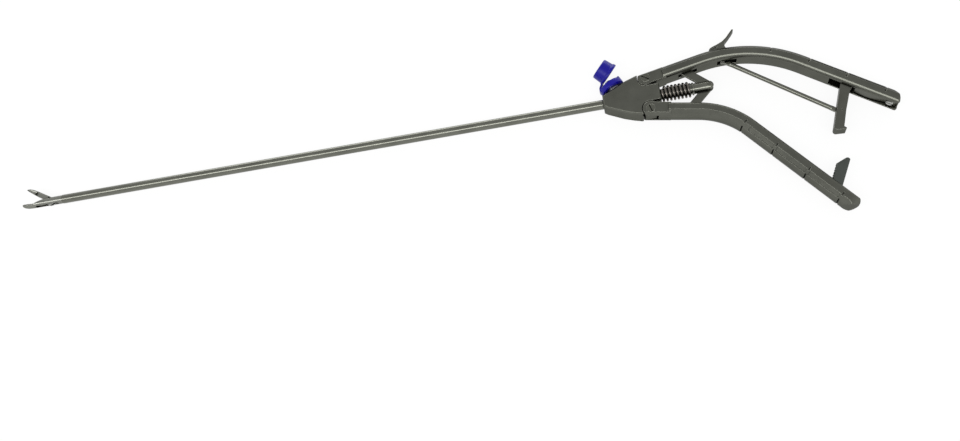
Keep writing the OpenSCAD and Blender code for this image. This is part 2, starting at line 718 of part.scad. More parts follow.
module return_spring() color(dark) polyhedron(
  points = [for (i = [0:coil_steps]) for (k = [0:wire_n - 1]) coil_point(i, k)],
  faces = concat([[for (k = [0:wire_n - 1]) k]],
    [[for (k = [wire_n - 1:-1:0]) coil_steps * wire_n + k]],
    [for (i = [0:coil_steps - 1]) for (k = [0:wire_n - 1])
      [i * wire_n + k, (i + 1) * wire_n + k, (i + 1) * wire_n + (k + 1) % wire_n]],
    [for (i = [0:coil_steps - 1]) for (k = [0:wire_n - 1])
      [i * wire_n + k, (i + 1) * wire_n + (k + 1) % wire_n, i * wire_n + (k + 1) % wire_n]]));

// Release trigger in the frame of the upper lever.
trigger_p = [trigger_u, -0.85];
trigger_slot = 3.8;
trigger_w = 3.4;
front_q = [trigger_u - 2.2, -3.6];

module release_trigger() color(steel) place_upper() translate([trigger_u - 42.1, 0, 0]) difference() {
  union() {
    plate(trigger_w) polygon([[35.6, 3.35], [35.65, 4.1], [36.4, 4.8], [37.8, 5.2], [40.6, 5.6],
      [43.5, 6.3], [46.2, 7.75], [49.9, 10.55], [50.55, 10.95], [50.95, 10.85], [51, 10.4],
      [49.5, 9.05], [47.3, 7.35], [45.2, 5.9], [44.1, 4.8], [43.7, 3.6], [44, 0], [43.4, -2.1],
      [41.2, -3.9], [38.9, -4.3], [38.6, -3.1], [40, -1.2], [40.3, 3.7], [39.6, 4.5], [37, 4.1],
      [36.5, 3.4]]);
    translate([42.1, -0.85, 0]) cylinder(r = 2.2, h = trigger_w, center = true);
    translate([39.9, -3.6, 0]) cylinder(r = 1.4, h = trigger_w, center = true);
  }
  translate([42.1, -0.85, 0]) cylinder(r = 0.9 + run, h = 10, center = true);
  translate([39.9, -3.6, 0]) cylinder(r = 0.6 + seat, h = 10, center = true);
  translate([39.9 - 3, -3.6 - 2.2, -0.85]) cube([6.2, 4, 1.7]);
}

module in_upper(p) {
  place_upper() translate([p[0], p[1], 0]) children();
}

module trigger_pin() color(dark) in_upper(trigger_p) cylinder(r = 0.9, h = pin_l, center = true);
module catch_rod_front_pin() color(dark) in_upper(front_q) cylinder(r = 0.6, h = trigger_w - 0.2, center = true);

// Catch arm in its own frame: x runs down the arm, +y towards the ratchet.
catch_off = -0.9;
rear_q = [16.4, -0.4];
arm_wall = 1.1;
lip_q = 3.05;

module place_arm() {
  upper_grip() translate([catch_s, catch_off, 0]) rotate([0, 0, -catch_lean]) children();
}

module catch_arm() color(steel) place_arm() difference() {
  union() {
    cylinder(r = 2.2, h = catch_w, center = true);
    plate(catch_w) polygon([[0, -2.2], [2.4, -2.5], [catch_l - 1.4, -2.7], [catch_l - 0.5, -2.35],
      [catch_l, -1.4], [catch_l - 1.3, lip_q], [catch_l - 1.8, lip_q + 0.05], [catch_l - 2.4, 1.85],
      [catch_l - 11, 1.75], [7.5, 2.1], [3.4, 2.6], [1.3, 4.2], [-1.1, 4.5], [-1.6, 3.6], [0, 2.2]]);
  }
  translate([2.6, -1.2, -catch_w / 2 + arm_wall]) cube([catch_l - 5.2, 6, catch_w - 2 * arm_wall]);
  cylinder(r = 1 + run, h = 10, center = true);
  translate([rear_q[0], rear_q[1], 0]) cylinder(r = 0.6 + seat, h = 10, center = true);
  translate([rear_q[0] - 4, -3.4, -0.85]) cube([7, 3.4, 1.7]);
}

module catch_arm_pin() color(dark) upper_grip() translate([catch_s, catch_off, 0])
  cylinder(r = 1, h = pin_l, center = true);

module catch_rod_rear_pin() color(dark) place_arm() translate([rear_q[0], rear_q[1], 0])
  cylinder(r = 0.6, h = catch_w - 0.2, center = true);

front_xy = plus(upper_p, turn(root_angle, front_q));
grip_xy = plus(upper_p, turn(root_angle, upper_e));
arm_xy = plus(grip_xy, turn(root_angle - upper_bend, [catch_s, catch_off]));
rear_xy = plus(arm_xy, turn(root_angle - upper_bend - catch_lean, rear_q));
rod_run = sqrt(pow(rear_xy[0] - front_xy[0], 2) + pow(rear_xy[1] - front_xy[1], 2));
rod_angle = atan2(rear_xy[1] - front_xy[1], rear_xy[0] - front_xy[0]);

rod_eye = 4.2;

module catch_rod() color(bright) translate([front_xy[0], front_xy[1], 0]) rotate([0, 0, rod_angle])
  difference() {
    union() {
      rotate([0, 90, 0]) translate([0, 0, rod_eye]) cylinder(r = 1.15, h = rod_run - 2 * rod_eye);
      for (d = [0, rod_run]) {
        translate([d, 0, 0]) cylinder(r = 1.45, h = 1.4, center = true);
        translate([d == 0 ? 0 : rod_run - rod_eye - 1, -1, -0.7]) cube([rod_eye + 1, 2, 1.4]);
      }
    }
    cylinder(r = 0.6 + run, h = 4, center = true);
    translate([rod_run, 0, 0]) cylinder(r = 0.6 + 0.2, h = 4, center = true);
  }

// Leaf spring of the catch arm, bowed out of the channel in the upper grip.
leaf_t = 0.5;
leaf_w = 5;
leaf_tip = catch_s + 5.4;

function leaf_y(s) = let (k = (s - leaf_tip) / (screw_s - 3 - leaf_tip))
  leaf_floor + 0.05 - (k > 1 ? 0 : 0.7 * sin(180 * max(0, k)) + 0.5 * (1 - max(0, k)));
leaf_line = [for (i = [0:14]) let (s = leaf_tip + (screw_s + 2.6 - leaf_tip) * i / 14) [s, leaf_y(s)]];

module leaf_spring() color(grey) upper_grip() difference() {
  plate(leaf_w) polygon(concat([for (p = leaf_line) [p[0], p[1] - 0.1 - leaf_t]],
    back([for (p = leaf_line) [p[0], p[1] - 0.1]])));
  translate([screw_s, 0, 0]) rotate([90, 0, 0]) cylinder(r = 1 + seat, h = 20, center = true);
}

module leaf_spring_screw() color(bright) upper_grip() translate([screw_s, leaf_floor - 0.08 - leaf_t, 0])
  rotate([90, 0, 0]) difference() {
    union() {
      cylinder(r1 = 1.9, r2 = 1.6, h = 1.1);
      translate([0, 0, -2.4]) cylinder(r = 1, h = 2.41);
    }
    translate([-3, -0.25, 0.6]) cube([6, 0.5, 1]);
  }

// Ratchet plate in the frame of the lower grip.
rack_s = lower_leg - 17.35;
rack_foot = 6.4;
rack_lean = 114.5;
rack_l = 15.8;
rivet_s = [rack_s + 1.4, rack_s + 4.9];
tooth_d = 0.9;
tooth_y0 = rack_l - 4.6;

module rack_plate() polygon(concat(
  [[-1.4, rack_w], [rack_l - 0.7, rack_w], [rack_l - 0.2, rack_w - 0.4], [rack_l, rack_w - 1.2],
   [rack_l - 0.35, rack_w - 2], [tooth_y0, 0]],
  [for (i = [0:tooth_count - 1]) for (k = [0, 1])
    [tooth_y0 - tooth_pitch * i - 0.35 * tooth_pitch * (k + 1), k * tooth_d]],
  [[tooth_y0 - tooth_pitch * tooth_count, 0], [-1.4, 0]]));

module place_rack() {
  lower_grip() translate([rack_s + 1, half_h - 2.2, 0]) rotate([0, 0, rack_lean]) mirror([0, 1, 0]) children();
}

module ratchet_rack() color(dark) difference() {
  union() {
    place_rack() plate(rack_t) rack_plate();
    lower_grip() translate([rack_s, -1.6, -rack_t / 2]) cube([rack_foot, half_h + 1.2, rack_t]);
  }
  lower_grip() for (d = rivet_s) translate([d, -0.2, 0]) cylinder(r = 0.9 + seat, h = 20, center = true);
}

module rack_rivet(d) color(dark) lower_grip() translate([d, -0.2, 0])
  cylinder(r = 0.9, h = pin_l, center = true);
module rack_front_rivet() rack_rivet(rivet_s[0]);
module rack_rear_rivet() rack_rivet(rivet_s[1]);

shaft_tube();
fixed_jaw();
fixed_jaw_insert();
moving_jaw();
moving_jaw_insert();
jaw_pivot_pin();
jaw_drive_pin();
drive_rod();
rod_seal();
housing();
luer_port();
flush_cap();
cap_strap();
upper_lever();
lower_lever();
upper_pivot_screw();
lower_pivot_screw();
upper_link();
lower_link();
upper_link_pin();
lower_link_pin();
plunger();
plunger_pin();
return_spring();
release_trigger();
trigger_pin();
catch_rod();
catch_rod_front_pin();
catch_rod_rear_pin();
catch_arm();
catch_arm_pin();
leaf_spring();
leaf_spring_screw();
ratchet_rack();
rack_front_rivet();
rack_rear_rivet();
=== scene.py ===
"""Finishes for a laparoscopic needle holder: satin steel, spring wire and blue silicone."""

from math import cos, pi, radians, sin

import bmesh
import bpy
from mathutils import Matrix, Vector


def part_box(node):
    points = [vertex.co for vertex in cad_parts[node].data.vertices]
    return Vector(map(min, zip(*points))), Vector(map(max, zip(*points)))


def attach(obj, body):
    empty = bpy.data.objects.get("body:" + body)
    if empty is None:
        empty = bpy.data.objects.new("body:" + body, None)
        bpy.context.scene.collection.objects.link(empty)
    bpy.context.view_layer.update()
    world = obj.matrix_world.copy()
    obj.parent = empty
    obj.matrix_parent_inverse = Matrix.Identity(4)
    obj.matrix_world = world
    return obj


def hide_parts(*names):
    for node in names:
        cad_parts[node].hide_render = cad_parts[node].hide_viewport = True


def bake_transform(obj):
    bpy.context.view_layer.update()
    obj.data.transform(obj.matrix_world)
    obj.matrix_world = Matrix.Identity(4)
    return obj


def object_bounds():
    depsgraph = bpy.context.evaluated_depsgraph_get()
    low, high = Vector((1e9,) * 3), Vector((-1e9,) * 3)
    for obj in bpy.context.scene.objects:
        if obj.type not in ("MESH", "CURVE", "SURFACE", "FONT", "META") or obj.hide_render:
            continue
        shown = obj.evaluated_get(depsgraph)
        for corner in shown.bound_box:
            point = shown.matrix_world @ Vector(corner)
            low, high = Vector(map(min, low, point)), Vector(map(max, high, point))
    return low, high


bl_info = {
    "name": "Needle holder finishes",
    "version": (1, 0, 0),
    "blender": (4, 5, 0),
    "location": "View3D > Sidebar > Needle holder",
    "description": "Return spring, flushing cap, strap and finishes of a needle holder",
    "category": "Object",
}

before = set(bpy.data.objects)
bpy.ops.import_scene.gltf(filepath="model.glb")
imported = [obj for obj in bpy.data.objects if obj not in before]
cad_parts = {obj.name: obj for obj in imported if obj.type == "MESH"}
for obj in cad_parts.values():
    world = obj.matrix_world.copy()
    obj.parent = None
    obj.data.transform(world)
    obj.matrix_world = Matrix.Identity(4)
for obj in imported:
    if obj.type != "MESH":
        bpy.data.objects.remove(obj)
CAD_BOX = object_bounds()
MM = 0.001

# Axis of the flushing port and of the cap that hangs over it, in millimetres.
PORT_FOOT = Vector((6.784, 6.38, 0))
PORT_ALONG = Vector((0.9055, 0.4244, 0))
PORT_AXIS = Vector((-0.4244, 0.9055, 0))
CAP_FOOT = Vector((5.39, 16.44, -0.45))
CAP_AXIS = Vector((-0.7298, 0.6099, 0.3090)).normalized()
STRAP_WALL = 1.1 * MM
# A turn between two rubber faces that is rounded.
SHARP_TURN = radians(50)

# CAD nodes by the finish that their real pieces have.
SATIN_NODES = ["housing", "upper_lever", "lower_lever", "upper_link", "lower_link",
               "release_trigger", "catch_arm"]
POLISHED_NODES = ["shaft_tube", "plunger", "catch_rod"]
JAW_NODES = ["fixed_jaw", "moving_jaw"]
BRIGHT_NODES = ["luer_port", "drive_rod", "leaf_spring_screw"]
STRIP_NODES = ["leaf_spring"]
PIN_NODES = ["jaw_pivot_pin", "jaw_drive_pin", "plunger_pin", "upper_link_pin", "lower_link_pin",
             "trigger_pin", "catch_rod_front_pin", "catch_rod_rear_pin", "catch_arm_pin",
             "rack_front_rivet", "rack_rear_rivet", "upper_pivot_screw", "lower_pivot_screw"]
RACK_NODES = ["ratchet_rack"]
INSERT_NODES = ["fixed_jaw_insert", "moving_jaw_insert"]
SEAL_NODES = ["rod_seal"]


def linear(hex_colour):
    """An sRGB hex colour as linear red, green, blue and alpha."""
    parts = [int(hex_colour[i:i + 2], 16) / 255 for i in (1, 3, 5)]
    return tuple(
        p / 12.92 if p <= 0.04045 else ((p + 0.055) / 1.055) ** 2.4 for p in parts) + (1.0,)


def add(tree, kind, settings=(), inputs=()):
    """Adds one node; an input is a value or the socket that feeds it."""
    node = tree.nodes.new(kind)
    for name, value in dict(settings).items():
        setattr(node, name, value)
    for name, value in dict(inputs).items():
        if isinstance(value, bpy.types.NodeSocket):
            tree.links.new(value, node.inputs[name])
        else:
            node.inputs[name].default_value = value
    return node


def empty_material(name):
    material = bpy.data.materials.new(name)
    material.use_nodes = True
    material.node_tree.nodes.clear()
    return material, material.node_tree


def steel(name, colour, edge_wear_highlight_colour, roughness, grain, stretch, relief, edge, grazing=0.5):
    """A ground or blasted steel: grain is the width of its marks in millimetres, stretch how much
    longer they are along X, relief their depth, edge the rounding of its edges, grazing the tint
    of what it reflects where it is seen nearly edge-on."""
    # Share by which the tone of a cloudy patch differs.
    patch = 0.1
    material, tree = empty_material(name)
    place = add(tree, "ShaderNodeTexCoord").outputs["Object"]
    marks = add(tree, "ShaderNodeMapping", inputs={"Vector": place, "Scale": (1 / stretch, 1, 1)})
    fine = add(tree, "ShaderNodeTexNoise", inputs={
        "Vector": marks.outputs["Vector"], "Scale": 1 / (grain * MM), "Detail": 3, "Roughness": 0.6})
    cloud = add(tree, "ShaderNodeTexNoise", inputs={
        "Vector": place, "Scale": 1 / (9 * MM), "Detail": 4, "Roughness": 0.55})
    rounded = add(tree, "ShaderNodeBevel", {"samples": 12}, {"Radius": edge * MM})
    bump = add(tree, "ShaderNodeBump", inputs={
        "Strength": 0.35, "Distance": relief * MM, "Height": fine.outputs["Fac"],
        "Normal": rounded.outputs["Normal"]})
    face = add(tree, "ShaderNodeNewGeometry")
    turned = add(tree, "ShaderNodeVectorMath", {"operation": "DOT_PRODUCT"}, {
        0: rounded.outputs["Normal"], 1: face.outputs["Normal"]})
    # Edges turn lighter: partly wear from handling, partly a painted highlight along the rounded
    # edges.
    edge_wear_and_highlight = add(tree, "ShaderNodeMapRange", inputs={
        "Value": turned.outputs["Value"], "From Min": 0.985, "From Max": 0.8,
        "To Min": 0.0, "To Max": 0.6})
    base = add(tree, "ShaderNodeMix", {"data_type": "RGBA"}, {
        "Factor": edge_wear_and_highlight.outputs["Result"], "A": linear(colour), "B": linear(edge_wear_highlight_colour)})
    tone = add(tree, "ShaderNodeMapRange", inputs={
        "Value": cloud.outputs["Fac"], "From Min": 0.3, "From Max": 0.7,
        "To Min": 1 - patch, "To Max": 1 + patch})
    speck = add(tree, "ShaderNodeMapRange", inputs={
        "Value": fine.outputs["Fac"], "From Min": 0.3, "From Max": 0.7,
        "To Min": 0.93, "To Max": 1.07})
    level = add(tree, "ShaderNodeMath", {"operation": "MULTIPLY"}, {
        0: tone.outputs["Result"], 1: speck.outputs["Result"]})
    # Painted shade: the colour darkens in gaps and crevices that the occlusion node finds.
    gaps = add(tree, "ShaderNodeAmbientOcclusion", {"samples": 8}, {"Distance": 1.6 * MM})
    gap_shade = add(tree, "ShaderNodeMapRange", inputs={
        "Value": gaps.outputs["AO"], "From Min": 0.42, "From Max": 0.82,
        "To Min": 0.06, "To Max": 1.0})
    level = add(tree, "ShaderNodeMath", {"operation": "MULTIPLY"}, {
        0: level.outputs["Value"], 1: gap_shade.outputs["Result"]})
    skin = add(tree, "ShaderNodeVectorMath", {"operation": "SCALE"}, {
        0: base.outputs[2], "Scale": level.outputs["Value"]})
    gloss = add(tree, "ShaderNodeMapRange", inputs={
        "Value": cloud.outputs["Fac"], "From Min": 0.25, "From Max": 0.75,
        "To Min": roughness - 0.05, "To Max": roughness + 0.06})
    dulled = add(tree, "ShaderNodeMath", {"operation": "MULTIPLY_ADD"}, {
        0: edge_wear_and_highlight.outputs["Result"], 1: -0.12, 2: gloss.outputs["Result"]})
    shader = add(tree, "ShaderNodeBsdfPrincipled", inputs={
        "Base Color": skin.outputs["Vector"], "Metallic": 1.0,
        "Specular Tint": (grazing,) * 3 + (1.0,),
        "Roughness": dulled.outputs["Value"], "Normal": bump.outputs["Normal"]})
    add(tree, "ShaderNodeOutputMaterial", inputs={"Surface": shader.outputs["BSDF"]})
    return material


def silicone(name, colour, pale, roughness):
    """Moulded silicone rubber: a soft sheen, a faint mould grain and dusty patches."""
    material, tree = empty_material(name)
    place = add(tree, "ShaderNodeTexCoord").outputs["Object"]
    grain = add(tree, "ShaderNodeTexNoise", inputs={
        "Vector": place, "Scale": 1 / (0.35 * MM), "Detail": 2})
    dust = add(tree, "ShaderNodeTexNoise", inputs={
        "Vector": place, "Scale": 1 / (3.5 * MM), "Detail": 5, "Roughness": 0.6})
    dusty = add(tree, "ShaderNodeMapRange", inputs={
        "Value": dust.outputs["Fac"], "From Min": 0.5, "From Max": 0.78,
        "To Min": 0.0, "To Max": 0.25})
    base = add(tree, "ShaderNodeMix", {"data_type": "RGBA"}, {
        "Factor": dusty.outputs["Result"], "A": linear(colour), "B": linear(pale)})
    rounded = add(tree, "ShaderNodeBevel", {"samples": 6}, {"Radius": 0.25 * MM})
    bump = add(tree, "ShaderNodeBump", inputs={
        "Strength": 0.2, "Distance": 0.03 * MM, "Height": grain.outputs["Fac"],
        "Normal": rounded.outputs["Normal"]})
    gloss = add(tree, "ShaderNodeMapRange", inputs={
        "Value": dust.outputs["Fac"], "From Min": 0.3, "From Max": 0.7,
        "To Min": roughness - 0.06, "To Max": roughness + 0.08})
    shader = add(tree, "ShaderNodeBsdfPrincipled", inputs={
        "Base Color": base.outputs[2], "Metallic": 0.0, "IOR": 1.41, "Specular IOR Level": 0.35,
        "Roughness": gloss.outputs["Result"], "Normal": bump.outputs["Normal"]})
    add(tree, "ShaderNodeOutputMaterial", inputs={"Surface": shader.outputs["BSDF"]})
    return material


def dress(nodes, material):
    """Gives CAD nodes their finish."""
    for name in nodes:
        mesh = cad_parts[name].data
        mesh.materials.clear()
        mesh.materials.append(material)


def clear_selection():
    if bpy.context.object and bpy.context.object.mode != "OBJECT":
        bpy.ops.object.mode_set(mode="OBJECT")
    bpy.ops.object.select_all(action="DESELECT")


def choose(piece, kind, test):
    """In edit mode, selects the faces, edges or vertices that pass the test."""
    bpy.ops.mesh.select_mode(type=kind)
    bpy.ops.mesh.select_all(action="DESELECT")
    shape = bmesh.from_edit_mesh(piece.data)
    group = {"FACE": shape.faces, "EDGE": shape.edges, "VERT": shape.verts}[kind]
    for part in group:
        if test(part):
            part.select_set(True)
    bmesh.update_edit_mesh(piece.data)


def finish_piece(piece, name, smooth=35):
    """Back to object mode, faces outward, place in the mesh, soft shading."""
    bpy.ops.mesh.select_all(action="SELECT")
    bpy.ops.mesh.remove_doubles(threshold=0.002 * MM)
    bpy.ops.mesh.normals_make_consistent(inside=False)
    bpy.ops.object.mode_set(mode="OBJECT")
    bpy.ops.object.transform_apply(location=True, rotation=True, scale=True)
    bpy.ops.object.shade_smooth_by_angle(angle=radians(smooth))
    piece.name = name
    piece.data.name = name


def apply_modifiers(piece):
    for modifier in list(piece.modifiers):
        bpy.ops.object.modifier_apply(modifier=modifier.name)


def step_out(rise, ratio):
    """Extrudes the chosen end face by rise along Z, then widens or narrows it."""
    bpy.ops.mesh.extrude_region_move(TRANSFORM_OT_translate={"value": (0, 0, rise)})
    bpy.ops.transform.resize(value=(ratio, ratio, 1), center_override=(0, 0, 0))


def stand_on(piece, foot, axis):
    """Moves a piece that was made upright at the origin to its foot and axis."""
    piece.matrix_world = (Matrix.Translation(foot * MM)
                          @ axis.to_track_quat("Z", "Y").to_matrix().to_4x4())


class NeedleHolderSizes(bpy.types.PropertyGroup):
    """Sizes of the pieces that are modelled here."""
    coil_diameter: bpy.props.FloatProperty(
        name="Coil diameter", description="Outer diameter of the return spring",
        default=0.0082, unit="LENGTH")
    wire_diameter: bpy.props.FloatProperty(
        name="Wire diameter", description="Diameter of the spring wire",
        default=0.0013, unit="LENGTH")
    coil_turns: bpy.props.FloatProperty(
        name="Turns", description="Turns of the return spring", default=7.75, min=3, max=12)
    cap_diameter: bpy.props.FloatProperty(
        name="Cap diameter", description="Diameter of the cap at its rim",
        default=0.0124, unit="LENGTH")
    cap_height: bpy.props.FloatProperty(
        name="Cap height", description="Height of the flushing cap",
        default=0.0068, unit="LENGTH")
    ring_diameter: bpy.props.FloatProperty(
        name="Ring diameter", description="Diameter of the ring round the port",
        default=0.0128, unit="LENGTH")
    strap_width: bpy.props.FloatProperty(
        name="Strap width", description="Width of the strap from ring to cap",
        default=0.0044, unit="LENGTH")
    steel_edge: bpy.props.FloatProperty(
        name="Edge rounding", description="Rounding of the steel edges in millimetres",
        default=0.35, min=0.05, max=1.0)


class NeedleHolderColours(bpy.types.PropertyGroup):
    """Colours of the finishes, as sRGB hex."""
    # Partly painted: the steel colours are darker than bare steel, a painted dark reflection besides
    # their own tone.
    satin: bpy.props.StringProperty(
        name="Satin steel", description="Blasted stainless steel of levers and housing",
        default="#5f6059")
    tube: bpy.props.StringProperty(
        name="Tube steel", description="Drawn and polished stainless steel", default="#6f7068")
    silicone: bpy.props.StringProperty(
        name="Silicone", description="Cap, ring and strap", default="#0c0480")


class NEEDLE_OT_spring(bpy.types.Operator):
    """Winds the return spring between housing and plunger"""
    bl_idname = "needle_holder.spring"
    bl_label = "Return spring"

    def execute(self, context):
        sizes = context.scene.needle_sizes
        low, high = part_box("return_spring")
        wire = sizes.wire_diameter / 2
        coil = sizes.coil_diameter / 2 - wire
        start, end = low.x + wire, high.x - wire
        turn = radians(80)
        clear_selection()
        bpy.ops.mesh.primitive_circle_add(
            vertices=14, radius=wire, fill_type="NOTHING",
            location=(start, coil * cos(turn), coil * sin(turn)),
            rotation=Vector((0, -sin(turn), cos(turn))).to_track_quat("Z", "Y").to_euler())
        spring = context.object
        bpy.ops.object.transform_apply(location=True, rotation=True, scale=True)
        screw = spring.modifiers.new("Winding", "SCREW")
        screw.axis = "X"
        screw.angle = 2 * pi * sizes.coil_turns
        screw.screw_offset = end - start
        screw.steps = screw.render_steps = round(40 * sizes.coil_turns)
        screw.use_merge_vertices = False
        apply_modifiers(spring)
        bpy.ops.object.mode_set(mode="EDIT")
        bpy.ops.mesh.select_mode(type="VERT")
        bpy.ops.mesh.select_all(action="SELECT")
        bpy.ops.mesh.fill_holes(sides=0)
        finish_piece(spring, "wound_spring", smooth=50)
        # Oil-tempered wire: nearly black, with narrow bright lines along each turn.
        spring.data.materials.append(steel(
            "oil-tempered spring steel", "#6a6660", "#8a8a86", 0.22, 0.5, 1, 0.01, 0.1, 0.8))
        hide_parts("return_spring")
        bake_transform(spring)
        return {"FINISHED"}


class NEEDLE_OT_cap(bpy.types.Operator):
    """Models the flushing cap, its ring round the port and the strap between them"""
    bl_idname = "needle_holder.cap"
    bl_label = "Cap, ring and strap"

    def cap(self, context, rubber):
        sizes = context.scene.needle_sizes
        rim, height = sizes.cap_diameter / 2, sizes.cap_height
        # Radius and height of each step, from the roof of the hollow round the rim to the top.
        profile = [(rim - 1.5 * MM, height - 1.4 * MM), (rim - 1.5 * MM, 0.25 * MM),
                   (rim - 1.3 * MM, 0), (rim - 0.3 * MM, 0), (rim - 0.08 * MM, 0.12 * MM),
                   (rim, 0.4 * MM), (rim, 1.2 * MM), (rim - 0.12 * MM, 1.5 * MM),
                   (rim - 0.42 * MM, 1.75 * MM), (rim - 0.5 * MM, 2.2 * MM),
                   (rim - 0.7 * MM, height - 0.9 * MM), (rim - 0.8 * MM, height - 0.45 * MM),
                   (rim - 1.05 * MM, height - 0.15 * MM), (rim - 1.45 * MM, height),
                   (rim - 2.6 * MM, height), (rim - 2.9 * MM, height - 0.3 * MM)]
        clear_selection()
        bpy.ops.mesh.primitive_circle_add(
            vertices=72, radius=profile[0][0], fill_type="NGON", location=(0, 0, profile[0][1]))
        cap = context.object
        bpy.ops.object.mode_set(mode="EDIT")
        bpy.ops.mesh.select_mode(type="FACE")
        bpy.ops.mesh.select_all(action="SELECT")
        for (r0, z0), (r1, z1) in zip(profile, profile[1:]):
            step_out(z1 - z0, r1 / r0)
        finish_piece(cap, "silicone_cap")
        stand_on(cap, CAP_FOOT, CAP_AXIS)
        clear_selection()
        cap.select_set(True)
        bpy.ops.object.transform_apply(location=True, rotation=True, scale=True)
        cap.data.materials.append(rubber)
        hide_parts("flush_cap")
        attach(cap, "cap_body")

    def ring(self, context, rubber):
        # Just inside the CAD ring, so that its rim stays in that ring's box.
        outer = context.scene.needle_sizes.ring_diameter / 2 - 0.02 * MM
        hole = 3.78 * MM
        low, high = 1.25 * MM, 4.05 * MM
        clear_selection()
        bpy.ops.mesh.primitive_cylinder_add(
            vertices=72, radius=outer, depth=high - low, end_fill_type="NGON",
            location=(0, 0, (low + high) / 2))
        ring = context.object
        bpy.ops.object.transform_apply(location=True, rotation=True, scale=True)
        bpy.ops.object.mode_set(mode="EDIT")
        choose(ring, "FACE", lambda f: abs(f.normal.z) > 0.9)
        bpy.ops.mesh.inset(thickness=outer - hole)
        choose(ring, "FACE", lambda f: abs(f.normal.z) > 0.9
               and f.calc_center_median().xy.length < 0.1 * MM)
        bpy.ops.mesh.bridge_edge_loops()
        # The lug on the far side and the root of the strap stand up from the ring.
        lug_from, lug_middle = 4.6 * MM, 5.2 * MM
        for side, rise in ((1, 1.5 * MM), (-1, 0.7 * MM)):
            choose(ring, "FACE", lambda f: f.normal.z > 0.9
                   and side * f.calc_center_median().x > lug_from)
            bpy.ops.mesh.extrude_region_move(TRANSFORM_OT_translate={"value": (0, 0, rise)})
            bpy.ops.transform.resize(
                value=(0.94, 0.86, 1), center_override=(side * lug_middle, 0, high + rise))
        choose(ring, "EDGE", lambda e: len(e.link_faces) == 2
               and e.calc_face_angle(0) > SHARP_TURN)
        bpy.ops.mesh.bevel(offset=0.22 * MM, segments=3, affect="EDGES")
        finish_piece(ring, "port_ring")
        ring.matrix_world = Matrix.Translation(PORT_FOOT * MM) @ Matrix((
            (PORT_ALONG.x, 0, PORT_AXIS.x, 0), (PORT_ALONG.y, 0, PORT_AXIS.y, 0),
            (0, -1, 0, 0), (0, 0, 0, 1)))
        clear_selection()
        ring.select_set(True)
        bpy.ops.object.transform_apply(location=True, rotation=True, scale=True)
        ring.data.materials.append(rubber)
        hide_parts("cap_strap")
        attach(ring, "frame_body")

    def strap(self, context, rubber):
        width = context.scene.needle_sizes.strap_width
        # The strap leaves the ring upwards and bends over to the rim of the cap.
        first = (PORT_FOOT + PORT_ALONG * -5.6 + PORT_AXIS * 3.0) * MM
        toward = Vector((-0.9, -1, 0))
        side = (toward - CAP_AXIS * toward.dot(CAP_AXIS)).normalized()
        last = (CAP_FOOT + side * 5.6 + CAP_AXIS * 0.9) * MM
        bow_a = first + (PORT_AXIS * 2.4 - PORT_ALONG * 1.2) * MM
        bow_b = last + (side * 1.6 - CAP_AXIS * 1.6) * MM
        count = 12
        line = []
        for i in range(count + 1):
            t = i / count
            line.append(first * (1 - t) ** 3 + bow_a * 3 * t * (1 - t) ** 2
                        + bow_b * 3 * t * t * (1 - t) + last * t ** 3)
        clear_selection()
        bpy.ops.mesh.primitive_plane_add(size=1, location=(0, 0, 0))
        strap = context.object
        bpy.ops.object.mode_set(mode="EDIT")
        choose(strap, "VERT", lambda v: v.co.x > 0)
        bpy.ops.mesh.delete(type="VERT")
        bpy.ops.mesh.select_all(action="SELECT")
        bpy.ops.transform.translate(value=(0.5, 0, 0))
        bpy.ops.transform.resize(value=(1, width, 1), center_override=(0, 0, 0))
        bpy.ops.transform.rotate(value=pi / 2, orient_axis="X", center_override=(0, 0, 0))
        bpy.ops.transform.translate(value=line[0])
        for here, there in zip(line, line[1:]):
            bpy.ops.mesh.extrude_region_move(TRANSFORM_OT_translate={"value": there - here})
        bpy.ops.object.mode_set(mode="OBJECT")
        wall = strap.modifiers.new("Wall", "SOLIDIFY")
        wall.thickness = STRAP_WALL
        wall.offset = 0
        soft = strap.modifiers.new("Soft edge", "BEVEL")
        soft.width = 0.28 * MM
        soft.segments = 3
        soft.limit_method = "ANGLE"
        soft.angle_limit = SHARP_TURN
        apply_modifiers(strap)
        bpy.ops.object.mode_set(mode="EDIT")
        finish_piece(strap, "cap_tether")
        strap.data.materials.append(rubber)
        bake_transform(strap)

    def execute(self, context):
        # Moulded silicone: deep blue, a soft broad sheen and a little pale dust.
        rubber = silicone(
            "moulded blue silicone", context.scene.needle_colours.silicone, "#1e1990", 0.34)
        self.cap(context, rubber)
        self.ring(context, rubber)
        self.strap(context, rubber)
        return {"FINISHED"}


